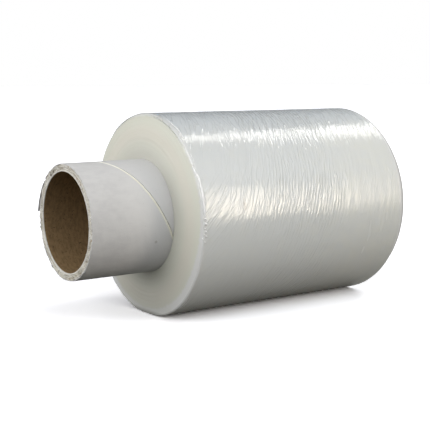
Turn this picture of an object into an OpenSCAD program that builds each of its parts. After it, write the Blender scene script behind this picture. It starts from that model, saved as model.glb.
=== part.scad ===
// Hand roll of stretch wrap: film wound on a spiral paper core whose one end
// stands out as a handle. The roll lies on its side, on the flat spot that its
// weight presses into the soft film. +X runs along the roll, from the handle to
// the far end, +Z is up, and the origin is on the floor under the middle.

/* [Film] */
// Width of the film, along the roll
film_width = 100; // [60:1:150]
// Diameter over the wound film
film_d = 79.5; // [56:0.5:120]
// Width of the flat spot that the roll rests on
flat_width = 14; // [8:0.5:20]
// Radius of the film's outer edges, where the last turns draw in
film_edge_round = 1.2; // [0.4:0.1:2]
// Slack between the core and the film's first turn
film_slack = 0.05; // [0:0.05:0.3]
// Distance between the crests that the turns form on the end faces
turn_pitch = 1.4; // [1:0.1:3]
// Depth of the grooves between those crests
turn_depth = 0.2; // [0.1:0.05:0.4]
// Distance between the gathers that run around the film
gather_pitch = 2; // [1.5:0.1:4]
// Depth of the hollows between the gathers
gather_depth = 0.15; // [0.05:0.05:0.3]

/* [Core] */
// Bore of the core, which a dispenser's spindle goes into
core_bore_d = 38; // [30:0.5:42]
// Thickness of the brown inner ply
inner_ply_t = 0.5; // [0.3:0.05:0.8]
// Thickness of the pale board between the inner and the outer ply
board_t = 2.1; // [1:0.1:3]
// Thickness of the white outer ply
outer_ply_t = 0.4; // [0.3:0.05:0.8]
// Length of core that stands out of the film as the handle
handle_out = 34.5; // [20:0.5:60]
// Length of core that stands out at the far end
far_out = 1; // [0.5:0.5:5]

/* [Outer ply seam] */
// Gap between the edges of the outer ply's strip
seam_gap = 0.7; // [0.4:0.05:1.2]
// Distance that the seam climbs along the core in one turn
seam_pitch = 70; // [50:1:100]
// Place of the seam's start at the handle's end, as an angle around the core
seam_start = 111; // [0:1:359]

/* [Hidden] */
$fn = 144;

// Distance by which a cutting body runs past what it cuts
cut_past = 1;
// Angle around the core from one section of the seam's cutter to the next
seam_step = 7.5;
// Straight stretches in each rounded edge of the film
edge_steps = 4;
// Angle from one groove to the next in the wave that sets their depths, so that
// the depths never fall into a rhythm
golden_angle = 137.5;
// Depth of the shallowest groove, as a share of the deepest
shallowest = 0.4;

// Radii of the core's surfaces, from the bore outwards
bore_r = core_bore_d / 2;
board_in_r = bore_r + inner_ply_t;
board_out_r = board_in_r + board_t;
core_r = board_out_r + outer_ply_t;

core_length = handle_out + film_width + far_out;
film_in_r = core_r + film_slack;
film_r = film_d / 2;
// Height of the roll's axis over the floor, set by the flat spot
axis_height = sqrt(film_r ^ 2 - (flat_width / 2) ^ 2);

// A share from 0 to 1 that differs from one step to the next
function uneven(i) = (1 + sin(i * golden_angle)) / 2;

// Depth below the crests: none at even steps, and uneven at odd ones
function groove(i, depth) =
    i % 2 == 0 ? 0 : depth * (shallowest + (1 - shallowest) * uneven(i));

// Puts what is drawn along +Z from the handle's end into the roll's place
module on_roll_axis() {
    translate([-core_length / 2, 0, axis_height])
        rotate([0, 90, 0])
            children();
}

// Tube along the whole core
module ply_tube(inner_r, outer_r) {
    difference() {
        cylinder(h = core_length, r = outer_r);
        translate([0, 0, -cut_past])
            cylinder(h = core_length + 2 * cut_past, r = inner_r);
    }
}

// Outline of half the wound film, as radius against distance from the handle's end.
// First the end face, with the crests that the turns form
function end_face(at, inwards) =
    let (
        span = film_r - film_edge_round - film_in_r,
        steps = 2 * max(1, round(span / turn_pitch))
    )
    [for (i = [0 : steps])
        [film_in_r + span * i / steps, at + inwards * groove(i, turn_depth)]];

// Then the edge, where the last turns draw in
function rounded_edge(at, inwards) =
    [for (i = [1 : edge_steps])
        let (turned = 90 * i / edge_steps)
        [film_r - film_edge_round * (1 - sin(turned)),
         at + inwards * film_edge_round * (1 - cos(turned))]];

// Then the outside, with the gathers that run around it
function gathered_side(from, to) =
    let (steps = 2 * max(1, round((to - from) / gather_pitch)))
    [for (i = [1 : steps - 1])
        [film_r - groove(i, gather_depth), from + (to - from) * i / steps]];

// The far end repeats the near end's points the other way round
function reversed(points) = [for (i = [len(points) - 1 : -1 : 0]) points[i]];

function film_outline(near, far) = concat(
    end_face(near, 1),
    rounded_edge(near, 1),
    gathered_side(near + film_edge_round, far - film_edge_round),
    reversed(rounded_edge(far, -1)),
    reversed(end_face(far, -1))
);

// Film wound around the core, one solid for all its turns, flat where it rests
module stretch_film() {
    color([0.86, 0.87, 0.84])
        difference() {
            on_roll_axis()
                rotate_extrude()
                    polygon(film_outline(handle_out, handle_out + film_width));
            translate([-core_length / 2 - cut_past, -film_d / 2, -film_d])
                cube([core_length + 2 * cut_past, film_d, film_d]);
        }
}

// Ribbon that sweeps the seam's gap along its helix, from below the handle's end
// to past the far end. Each ring of it is a four-cornered section of the gap.
module seam_cutter() {
    slope = atan(seam_pitch / (2 * PI * core_r));
    gap_along_core = seam_gap / cos(slope);
    spare_turn = 360 * (cut_past + gap_along_core) / seam_pitch;
    first = seam_start - spare_turn;
    last = seam_start + 360 * core_length / seam_pitch + spare_turn;
    rings = ceil((last - first) / seam_step);
    inner_r = board_out_r - outer_ply_t / 2;
    outer_r = core_r + outer_ply_t / 2;
    section = [
        [inner_r, -gap_along_core / 2],
        [outer_r, -gap_along_core / 2],
        [outer_r, gap_along_core / 2],
        [inner_r, gap_along_core / 2]
    ];
    corners = len(section);
    points = [
        for (k = [0 : rings], corner = section)
            let (
                turned = first + (last - first) * k / rings,
                along = seam_pitch * (turned - seam_start) / 360
            )
            [corner[0] * cos(turned), corner[0] * sin(turned), along + corner[1]]
    ];
    sides = [
        for (k = [0 : rings - 1], c = [0 : corners - 1])
            let (
                here = k * corners,
                next = here + corners,
                d = (c + 1) % corners
            )
            each [
                [here + c, next + d, next + c],
                [here + c, here + d, next + d]
            ]
    ];
    start_cap = [[for (c = [corners - 1 : -1 : 0]) c]];
    end_cap = [[for (c = [0 : corners - 1]) rings * corners + c]];
    polyhedron(points = points, faces = concat(sides, start_cap, end_cap));
}

// White paper strip wound in a helix around the board, with its edges a gap apart
module core_outer_ply() {
    color([0.93, 0.93, 0.94])
        on_roll_axis()
            difference() {
                ply_tube(board_out_r, core_r);
                seam_cutter();
            }
}

// Pale board that makes up most of the core's wall
module core_board() {
    color([0.87, 0.84, 0.76])
        on_roll_axis()
            ply_tube(board_in_r, board_out_r);
}

// Brown paper that lines the bore
module core_inner_ply() {
    color([0.42, 0.3, 0.19])
        on_roll_axis()
            ply_tube(bore_r, board_in_r);
}

stretch_film();
core_outer_ply();
core_board();
core_inner_ply();
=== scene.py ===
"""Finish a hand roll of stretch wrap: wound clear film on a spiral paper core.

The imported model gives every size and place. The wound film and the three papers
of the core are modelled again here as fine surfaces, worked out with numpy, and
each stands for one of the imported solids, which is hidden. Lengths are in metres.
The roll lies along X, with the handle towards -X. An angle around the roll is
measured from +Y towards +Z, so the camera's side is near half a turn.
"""

import logging
import math
from dataclasses import dataclass, field, replace
from enum import Enum

import bpy
import numpy as np
from mathutils import Matrix, Vector


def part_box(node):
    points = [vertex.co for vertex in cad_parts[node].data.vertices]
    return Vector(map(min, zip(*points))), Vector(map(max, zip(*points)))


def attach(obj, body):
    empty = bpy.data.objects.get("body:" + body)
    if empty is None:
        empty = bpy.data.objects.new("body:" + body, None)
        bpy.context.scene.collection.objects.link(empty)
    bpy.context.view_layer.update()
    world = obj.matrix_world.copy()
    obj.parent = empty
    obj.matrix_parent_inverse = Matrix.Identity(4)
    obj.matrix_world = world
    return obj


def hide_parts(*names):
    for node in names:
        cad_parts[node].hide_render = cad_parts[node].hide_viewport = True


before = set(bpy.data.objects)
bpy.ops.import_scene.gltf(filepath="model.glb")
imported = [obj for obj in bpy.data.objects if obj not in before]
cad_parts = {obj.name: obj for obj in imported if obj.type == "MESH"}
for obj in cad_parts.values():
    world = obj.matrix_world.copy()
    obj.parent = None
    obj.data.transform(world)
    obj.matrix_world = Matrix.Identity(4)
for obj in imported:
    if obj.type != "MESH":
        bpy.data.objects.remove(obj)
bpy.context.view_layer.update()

MM = 0.001
BODY = "root"
SURFACE_MAP = "surface_map"

log = logging.getLogger("stretch_wrap_roll")


class Slot(Enum):
    """The record's material slots."""

    FILM = "clear_film"
    WHITE_PAPER = "white_paper"
    BOARD = "pale_board"
    KRAFT = "kraft_paper"


@dataclass(frozen=True)
class RollSize:
    """Sizes and places of the roll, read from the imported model.

    Attributes:
        axis_z: Height of the roll's axis over the floor.
        film_near: X of the film's end face at the handle.
        film_far: X of the film's other end face.
        film_r: Outer radius of the wound film.
        film_in_r: Radius of the hole through the wound film.
        core_near: X of the core's end at the handle.
        core_far: X of the core's other end.
        core_r: Outer radius of the core.
        board_out_r: Outer radius of the board.
        board_in_r: Inner radius of the board.
        bore_r: Radius of the bore.
    """

    axis_z: float
    film_near: float
    film_far: float
    film_r: float
    film_in_r: float
    core_near: float
    core_far: float
    core_r: float
    board_out_r: float
    board_in_r: float
    bore_r: float

    def levels(self, shares: tuple) -> tuple[float, float]:
        """Return two heights: the axis's own plus shares of the film's radius."""
        return tuple(self.axis_z + share * self.film_r for share in shares)


def shift(base: float, millimetres: tuple) -> tuple[float, float]:
    """Return two places that lie some millimetres on from a base."""
    return tuple(base + MM * step for step in millimetres)


def half_width(node: str) -> float:
    """Return half of a node's width across the roll."""
    low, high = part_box(node)
    return (high.y - low.y) / 2


def innermost(node: str, axis_z: float) -> float:
    """Return the smallest radius of a node's points about the roll's axis.

    Args:
        node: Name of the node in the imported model.
        axis_z: Height of the roll's axis.

    Returns:
        The smallest distance from the axis.
    """
    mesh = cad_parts[node].data
    points = np.empty(len(mesh.vertices) * 3, np.float32)
    mesh.vertices.foreach_get("co", points)
    points = points.reshape(-1, 3)
    return float(np.hypot(points[:, 1], points[:, 2] - axis_z).min())


def measure_roll() -> RollSize:
    """Read the roll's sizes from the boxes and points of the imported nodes.

    Returns:
        The sizes.
    """
    film_low, film_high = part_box("stretch_film")
    core_low, core_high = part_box("core_outer_ply")
    axis_z = (core_low.z + core_high.z) / 2
    return RollSize(
        axis_z=axis_z,
        film_near=film_low.x,
        film_far=film_high.x,
        film_r=half_width("stretch_film"),
        film_in_r=innermost("stretch_film", axis_z),
        core_near=core_low.x,
        core_far=core_high.x,
        core_r=half_width("core_outer_ply"),
        board_out_r=half_width("core_board"),
        board_in_r=half_width("core_inner_ply"),
        bore_r=innermost("core_inner_ply", axis_z),
    )


class Wire:
    """A socket's value, on which Python's operators add Math nodes."""

    def __init__(self, shader: "Shader", socket: bpy.types.NodeSocket) -> None:
        """Keep the socket and the shader that it belongs to."""
        self.shader = shader
        self.socket = socket

    def math(self, operation: str, *others: "Wire | float") -> "Wire":
        """Return the result of a Math node on this value and others.

        Args:
            operation: The Math node's operation.
            others: Its second and third values, as wires or numbers.

        Returns:
            The node's result.
        """
        values = {0: self}
        values.update({at + 1: other for at, other in enumerate(others)})
        return self.shader.add("ShaderNodeMath", {"operation": operation}, values)

    def __add__(self, other: "Wire | float") -> "Wire":
        """Return the sum."""
        return self.math("ADD", other)

    __radd__ = __add__

    def __mul__(self, other: "Wire | float") -> "Wire":
        """Return the product."""
        return self.math("MULTIPLY", other)

    __rmul__ = __mul__

    def __sub__(self, other: "Wire | float") -> "Wire":
        """Return the difference."""
        return self.math("SUBTRACT", other)

    def __rsub__(self, other: float) -> "Wire":
        """Return a number less this value."""
        return self * -1.0 + other

    def __truediv__(self, other: "Wire | float") -> "Wire":
        """Return the quotient."""
        return self.math("DIVIDE", other)

    def __pow__(self, other: float) -> "Wire":
        """Return this value to a power."""
        return self.math("POWER", other)

    def __abs__(self) -> "Wire":
        """Return the value without its sign."""
        return self.math("ABSOLUTE")


class Shader:
    """Builds the node tree of a material or of the world."""

    def __init__(self, owner: bpy.types.Material | bpy.types.World) -> None:
        """Turn the owner's nodes on and clear them.

        Args:
            owner: The material or world.
        """
        owner.use_nodes = True
        self.owner = owner
        self.tree = owner.node_tree
        self.tree.nodes.clear()

    def add(
        self,
        kind: str,
        settings: dict | None = None,
        values: dict | None = None,
        output: int | str = 0,
    ) -> Wire:
        """Add any node, with its settings first and then its sockets.

        Args:
            kind: The node's type.
            settings: Properties of the node.
            values: Socket names or numbers, with the wire or value of each.
            output: Name or number of the socket to return.

        Returns:
            The node's output.
        """
        node = self.tree.nodes.new(kind)
        for name, value in (settings or {}).items():
            setattr(node, name, value)
        for key, value in (values or {}).items():
            if isinstance(value, Wire):
                self.tree.links.new(value.socket, node.inputs[key])
            else:
                node.inputs[key].default_value = value
        return Wire(self, node.outputs[output] if len(node.outputs) else None)

    def finish(self, surface: Wire) -> None:
        """Join a surface to the output that its owner needs.

        Args:
            surface: The surface of a material, or the background of the world.
        """
        is_world = isinstance(self.owner, bpy.types.World)
        kind = "ShaderNodeOutputWorld" if is_world else "ShaderNodeOutputMaterial"
        self.add(kind, values={"Surface": surface})

    def axes(self, vector: Wire) -> tuple[Wire, Wire, Wire]:
        """Return the three parts of a vector.

        Args:
            vector: The vector.

        Returns:
            Its X, Y and Z.
        """
        split = self.add("ShaderNodeSeparateXYZ", values={"Vector": vector})
        outputs = split.socket.node.outputs
        return tuple(Wire(self, socket) for socket in outputs)

    def object_place(self) -> Wire:
        """Return the place on the object, in metres."""
        return self.add("ShaderNodeTexCoord", output="Object")

    def surface_place(self) -> tuple[Wire, Wire]:
        """Return the way along the roll and the way around it, from the UV map."""
        along, around, _ = self.axes(self.add("ShaderNodeUVMap", {"uv_map": SURFACE_MAP}))
        return along, around

    def vector(self, x: Wire | float, y: Wire | float, z: Wire | float = 0.0) -> Wire:
        """Return a vector of three values."""
        return self.add("ShaderNodeCombineXYZ", values={"X": x, "Y": y, "Z": z})

    def stretched(self, place: Wire, factors: tuple) -> Wire:
        """Return a place whose three parts are multiplied by factors."""
        return self.add("ShaderNodeMapping", values={"Vector": place, "Scale": factors})

    def measure(self, operation: str, *vectors: Wire | tuple) -> Wire:
        """Return the number that a Vector Math node gives for one or two vectors.

        Args:
            operation: The node's operation.
            vectors: Its vectors.

        Returns:
            The number.
        """
        settings = {"operation": operation}
        return self.add("ShaderNodeVectorMath", settings, dict(enumerate(vectors)), "Value")

    def noise(self, place: Wire, scale: float, detail: float = 2.0, roughness: float = 0.5) -> Wire:
        """Return a noise texture's value at a place.

        Args:
            place: Where the noise is read.
            scale: Features in a unit of the place.
            detail: How many finer copies are added.
            roughness: How strong the finer copies are.

        Returns:
            Values around one half.
        """
        values = {"Vector": place, "Scale": scale, "Detail": detail, "Roughness": roughness}
        return self.add("ShaderNodeTexNoise", values=values)

    def rise(self, value: Wire, low: float, high: float) -> Wire:
        """Return 0 below low and 1 above high, with a smooth step between them.

        The step is turned round where low is the larger of the two.

        Args:
            value: The value.
            low: Where the result is 0.
            high: Where it is 1.

        Returns:
            Values of 0 to 1.
        """
        settings = {"interpolation_type": "SMOOTHSTEP"}
        limits = {"Value": value, "From Min": min(low, high), "From Max": max(low, high)}
        limits["To Min"] = 0.0 if low < high else 1.0
        limits["To Max"] = 1.0 - limits["To Min"]
        return self.add("ShaderNodeMapRange", settings, limits)

    def mix(self, factor: Wire | float, first: Wire | tuple, second: Wire | tuple) -> Wire:
        """Return a colour between two colours.

        Args:
            factor: 0 for the first colour and 1 for the second.
            first: Wire or four numbers.
            second: Wire or four numbers.

        Returns:
            The mixed colour.
        """
        factor_in, first_in, second_in, colour_out = 0, 6, 7, 2
        values = {factor_in: factor, first_in: first, second_in: second}
        return self.add("ShaderNodeMix", {"data_type": "RGBA"}, values, colour_out)

    def bump(self, height: Wire, distance: float) -> Wire:
        """Return the normals of a height.

        Args:
            height: The height.
            distance: Metres that a height of 1 stands for.

        Returns:
            The bumped normals.
        """
        return self.add("ShaderNodeBump", values={"Height": height, "Distance": distance})


def rgba(red: float, green: float, blue: float) -> tuple[float, float, float, float]:
    """Return an opaque colour from three linear values."""
    return (red, green, blue, 1.0)


def from_axis(y: Wire, z: Wire, axis_z: float) -> Wire:
    """Return the distance from the roll's axis: the root of y^2 + (z - axis height)^2."""
    return (y ** 2.0 + (z - axis_z) ** 2.0) ** 0.5


def around_axis(x: np.ndarray, radius: np.ndarray, angle: np.ndarray, axis_z: float) -> np.ndarray:
    """Place points about the roll's axis: (x, r cos a, axis height + r sin a).

    Args:
        x: Place along the roll.
        radius: Distance from the axis.
        angle: Angle from +Y towards +Z, in radians.
        axis_z: Height of the axis.

    Returns:
        Points, with their three parts last.
    """
    x, radius, angle = np.broadcast_arrays(x, radius, angle)
    return np.stack((x, radius * np.cos(angle), axis_z + radius * np.sin(angle)), axis=-1)


def grid_faces(rows: int, columns: int, wrap_rows: bool, wrap_columns: bool) -> np.ndarray:
    """Return the quads of a grid of points that are counted row by row.

    Args:
        rows: Number of rows of points.
        columns: Number of points in a row.
        wrap_rows: Whether the last row joins the first.
        wrap_columns: Whether the last column joins the first.

    Returns:
        Four point numbers a face.
    """
    row = np.arange(rows if wrap_rows else rows - 1)[:, None]
    column = np.arange(columns if wrap_columns else columns - 1)[None, :]
    next_row = (row + 1) % rows
    next_column = (column + 1) % columns
    corners = (
        row * columns + column,
        row * columns + next_column,
        next_row * columns + next_column,
        next_row * columns + column,
    )
    return np.stack([corner + 0 * row + 0 * column for corner in corners], axis=-1).reshape(-1, 4)


def sheet_faces(rows: int, columns: int) -> np.ndarray:
    """Return the quads that close a thick sheet of two grids of points.

    The upper grid's points come first. The four sides run along the borders.

    Args:
        rows: Number of rows of points in each grid.
        columns: Number of points in a row.

    Returns:
        Four point numbers a face.
    """
    count = rows * columns
    upper = grid_faces(rows, columns, False, False)
    number = np.arange(count).reshape(rows, columns)
    border = np.concatenate((number[0, :-1], number[:-1, -1], number[-1, :0:-1], number[:0:-1, 0]))
    following = np.roll(border, -1)
    rim = np.stack((border, border + count, following + count, following), axis=-1)
    return np.concatenate((upper, upper[:, ::-1] + count, rim))


def enclosed_volume(points: np.ndarray, faces: np.ndarray) -> float:
    """Return a closed mesh's volume, which is negative where it is inside out.

    It is the sum of a . (b x c) / 6 over the two triangles a, b, c of each face.

    Args:
        points: Points of the mesh.
        faces: Four point numbers a face.

    Returns:
        The volume, in cubic metres.
    """
    first, second, third, fourth = (points[faces[:, at]] for at in range(4))
    halves = ((first, second, third), (first, third, fourth))
    return float(sum(np.einsum("ij,ij->i", a, np.cross(b, c)).sum() for a, b, c in halves) / 6)


def make_piece(
    name: str,
    points: np.ndarray,
    faces: np.ndarray,
    surface_map: np.ndarray | None = None,
    sharp_deg: float = 40.0,
) -> bpy.types.Object:
    """Make a closed mesh object whose faces point outwards.

    Args:
        name: Name of the piece.
        points: Points of the mesh.
        faces: Four point numbers a face.
        surface_map: Two map values for each corner of each face.
        sharp_deg: Angle between faces over which their edge stays sharp.

    Returns:
        The object, at the origin.
    """
    points = points.reshape(-1, 3)
    if enclosed_volume(points, faces) < 0:
        faces = faces[:, ::-1]
        if surface_map is not None:
            surface_map = surface_map[:, ::-1]
    mesh = bpy.data.meshes.new(name)
    mesh.vertices.add(len(points))
    mesh.vertices.foreach_set("co", points.astype(np.float32).ravel())
    mesh.loops.add(faces.size)
    mesh.loops.foreach_set("vertex_index", faces.astype(np.int32).ravel())
    mesh.polygons.add(len(faces))
    mesh.polygons.foreach_set("loop_start", np.arange(0, faces.size, 4, dtype=np.int32))
    mesh.update(calc_edges=True)
    if surface_map is not None:
        layer = mesh.uv_layers.new(name=SURFACE_MAP)
        layer.data.foreach_set("uv", surface_map.astype(np.float32).ravel())
    mesh.validate()
    mesh.shade_smooth()
    mesh.set_sharp_from_angle(angle=math.radians(sharp_deg))
    piece = bpy.data.objects.new(name, mesh)
    bpy.context.scene.collection.objects.link(piece)
    return piece


def dress(piece: bpy.types.Object, material: bpy.types.Material) -> None:
    """Give a piece its material, and let it ride on the roll.

    Args:
        piece: The piece.
        material: Its material.
    """
    piece.data.materials.append(material)
    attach(piece, BODY)
    log.info("%s: %d faces", piece.name, len(piece.data.polygons))


def wave_numbers(
    shape: tuple[int, int], extent: tuple[float, float]
) -> tuple[np.ndarray, np.ndarray]:
    """Return the waves in a metre that each part of a spectrum stands for.

    Args:
        shape: Number of steps along the roll and around it.
        extent: Metres that they cover.

    Returns:
        Waves along the roll, in a column, and around it, in a row.
    """
    along = np.fft.fftfreq(shape[0], extent[0] / shape[0])[:, None]
    around = np.fft.fftfreq(shape[1], extent[1] / shape[1])[None, :]
    return along, around


def keep_waves(rng: np.random.Generator, keep: np.ndarray) -> np.ndarray:
    """Return white noise of which only some waves are kept.

    Args:
        rng: Source of the noise.
        keep: Share that is kept of each part of the spectrum.

    Returns:
        Values with a mean of 0 and a spread of 1.
    """
    spectrum = np.fft.fft2(rng.standard_normal(keep.shape))
    values = np.real(np.fft.ifft2(spectrum * keep))
    return (values - values.mean()) / values.std()


def fine_noise(
    rng: np.random.Generator,
    shape: tuple[int, int],
    extent: tuple[float, float],
    pitch: float,
    length: float,
    slant: float,
) -> np.ndarray:
    """Return long, narrow features that repeat at the borders, with a spread of 1.

    White noise keeps only the waves whose crests lie a pitch apart across the
    slanted direction, and that change over a length along it.

    Args:
        rng: Source of the noise.
        shape: Number of steps along the roll and around it.
        extent: Metres that they cover.
        pitch: Distance between crests.
        length: Length of a feature.
        slant: Metres along the roll for each metre around it.

    Returns:
        Values with a mean of 0 and a spread of 1.
    """
    along, around = wave_numbers(shape, extent)
    stretch = math.hypot(1.0, slant)
    across_wave = np.abs(along - slant * around) / stretch
    length_wave = (slant * along + around) / stretch
    pitch_kept = np.exp(-2.0 * (across_wave * pitch - 1.0) ** 2)
    return keep_waves(rng, pitch_kept * np.exp(-((length_wave * length) ** 2)))


def soft_noise(
    rng: np.random.Generator,
    shape: tuple[int, int],
    extent: tuple[float, float],
    sizes: tuple[float, float],
) -> np.ndarray:
    """Return broad, soft patches that repeat at the borders, with a spread of 1.

    Args:
        rng: Source of the noise.
        shape: Number of steps along the roll and around it.
        extent: Metres that they cover.
        sizes: Size of a patch along the roll and around it.

    Returns:
        Values with a mean of 0 and a spread of 1.
    """
    along, around = wave_numbers(shape, extent)
    return keep_waves(rng, np.exp(-((along * sizes[0]) ** 2) - (around * sizes[1]) ** 2))


def smooth_step(value: np.ndarray, low: float, high: float) -> np.ndarray:
    """Return 0 below low and 1 above high, with the cubic step between them."""
    share = np.clip((value - low) / (high - low), 0.0, 1.0)
    return share * share * (3.0 - 2.0 * share)


def bulge(angle: np.ndarray, middle: float, width: float) -> np.ndarray:
    """Return exp(-(a / w)^2), where a is the way around from a middle.

    Args:
        angle: Angles around the roll, in radians.
        middle: The middle, in degrees.
        width: The width w, in degrees.

    Returns:
        Values of 0 to 1.
    """
    away = np.angle(np.exp(1j * (angle - math.radians(middle))))
    return np.exp(-((away / math.radians(width)) ** 2))


@dataclass(frozen=True)
class FilmZones:
    """Where each zone of the film starts and is complete.

    Attributes:
        low_down: Where the outside reaches further over the near edge, in shares of
            the film's radius over the axis.
        end_upper: Upper part of the end faces, in the same shares.
        foot_shade_zone: Foot of the end faces, which painted shade darkens.
        painted_sky_zone: Top of the outside, on which a cool light from the sky is painted.
        topside: Where the wrinkles are strong, above the upper bright band.
        between_lower: Lower border of the calm strip between the two bright bands.
        between_upper: Upper border of that strip.
        below_bands: Calmer part below the bright bands.
        front: Side that faces the camera, in shares of the radius along Y.
        fan: Wrinkles that spread from the near edge, in millimetres into the film.
        calm: Near part, before the smoother far part.
        fringe_start: Start of the even folds.
        fringe_end: End of the even folds.
        far_soft: Softer gloss towards the far end.
        near_soft: Softer gloss by the near edge.
        near_wrap: Clearer turns over the near edge.
        far_wrap: The same at the far edge, in millimetres from the far end face.
        far_line: Grey line along the far edge.
        warm_start: Start of the warmer band of the end faces, in millimetres from the axis.
        warm_end: End of that band.
        core_shade_zone: Part of the end faces by the core, which painted shade darkens.
        underside: Height over the floor under which painted shade darkens the film, in millimetres.
        painted_contact_shade: Height of the painted dark contact line by the floor.
        side_border: Border of the outside, in millimetres from the outer radius.
        gloss_border: Border of its gloss.
    """

    low_down: tuple = (0.35, -0.6)
    end_upper: tuple = (-0.35, 0.25)
    foot_shade_zone: tuple = (-0.25, -0.95)
    painted_sky_zone: tuple = (0.72, 0.98)
    topside: tuple = (0.70, 0.88)
    between_lower: tuple = (0.34, 0.46)
    between_upper: tuple = (0.74, 0.62)
    below_bands: tuple = (0.03, -0.18)
    front: tuple = (-0.72, -0.92)
    fan: tuple = (22, 7)
    calm: tuple = (78, 56)
    fringe_start: tuple = (26, 38)
    fringe_end: tuple = (75, 63)
    far_soft: tuple = (45, 80)
    near_soft: tuple = (16, 2)
    near_wrap: tuple = (3.0, 0.9)
    far_wrap: tuple = (-3.0, -0.9)
    far_line: tuple = (-1.3, -0.4)
    warm_start: tuple = (27, 31)
    warm_end: tuple = (37, 33)
    core_shade_zone: tuple = (33, 22)
    underside: tuple = (11, 0.5)
    painted_contact_shade: tuple = (2.4, 0.2)
    side_border: tuple = (-1.7, -0.2)
    gloss_border: tuple = (-1.2, -0.3)


@dataclass(frozen=True)
class FilmSpot:
    """What the film's shader knows about a point of the surface.

    Attributes:
        shader: The material's shader.
        size: Sizes of the roll.
        along: Way along the roll.
        around: Way around it.
        x: Place along the roll's axis.
        z: Height over the floor.
        radius: Distance from the roll's axis.
        ragged: Fine noise.
        on_side: 1 on the outside and 0 on the end faces, with a ragged border.
        glossy: 1 where the film is glossy.
        front: 1 on the side that faces the camera.
        far_line: 1 along the far edge.
    """

    shader: Shader
    size: RollSize
    along: Wire
    around: Wire
    x: Wire
    z: Wire
    radius: Wire
    ragged: Wire
    on_side: Wire
    glossy: Wire
    front: Wire
    far_line: Wire

    def into(self, zone: tuple) -> Wire:
        """Return 0 to 1 over a zone, in millimetres into the film from the near end."""
        return self.shader.rise(self.along, *shift(self.size.film_near, zone))

    def above(self, zone: tuple) -> Wire:
        """Return 0 to 1 over a zone, in shares of the film's radius over the axis."""
        return self.shader.rise(self.z, *self.size.levels(zone))

    def outward(self, zone: tuple) -> Wire:
        """Return 0 to 1 over a zone, in millimetres from the axis."""
        return self.shader.rise(self.radius, *shift(0.0, zone))

    def over_floor(self, zone: tuple) -> Wire:
        """Return 0 to 1 over a zone, in millimetres over the floor."""
        return self.shader.rise(self.z, *shift(0.0, zone))


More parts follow.
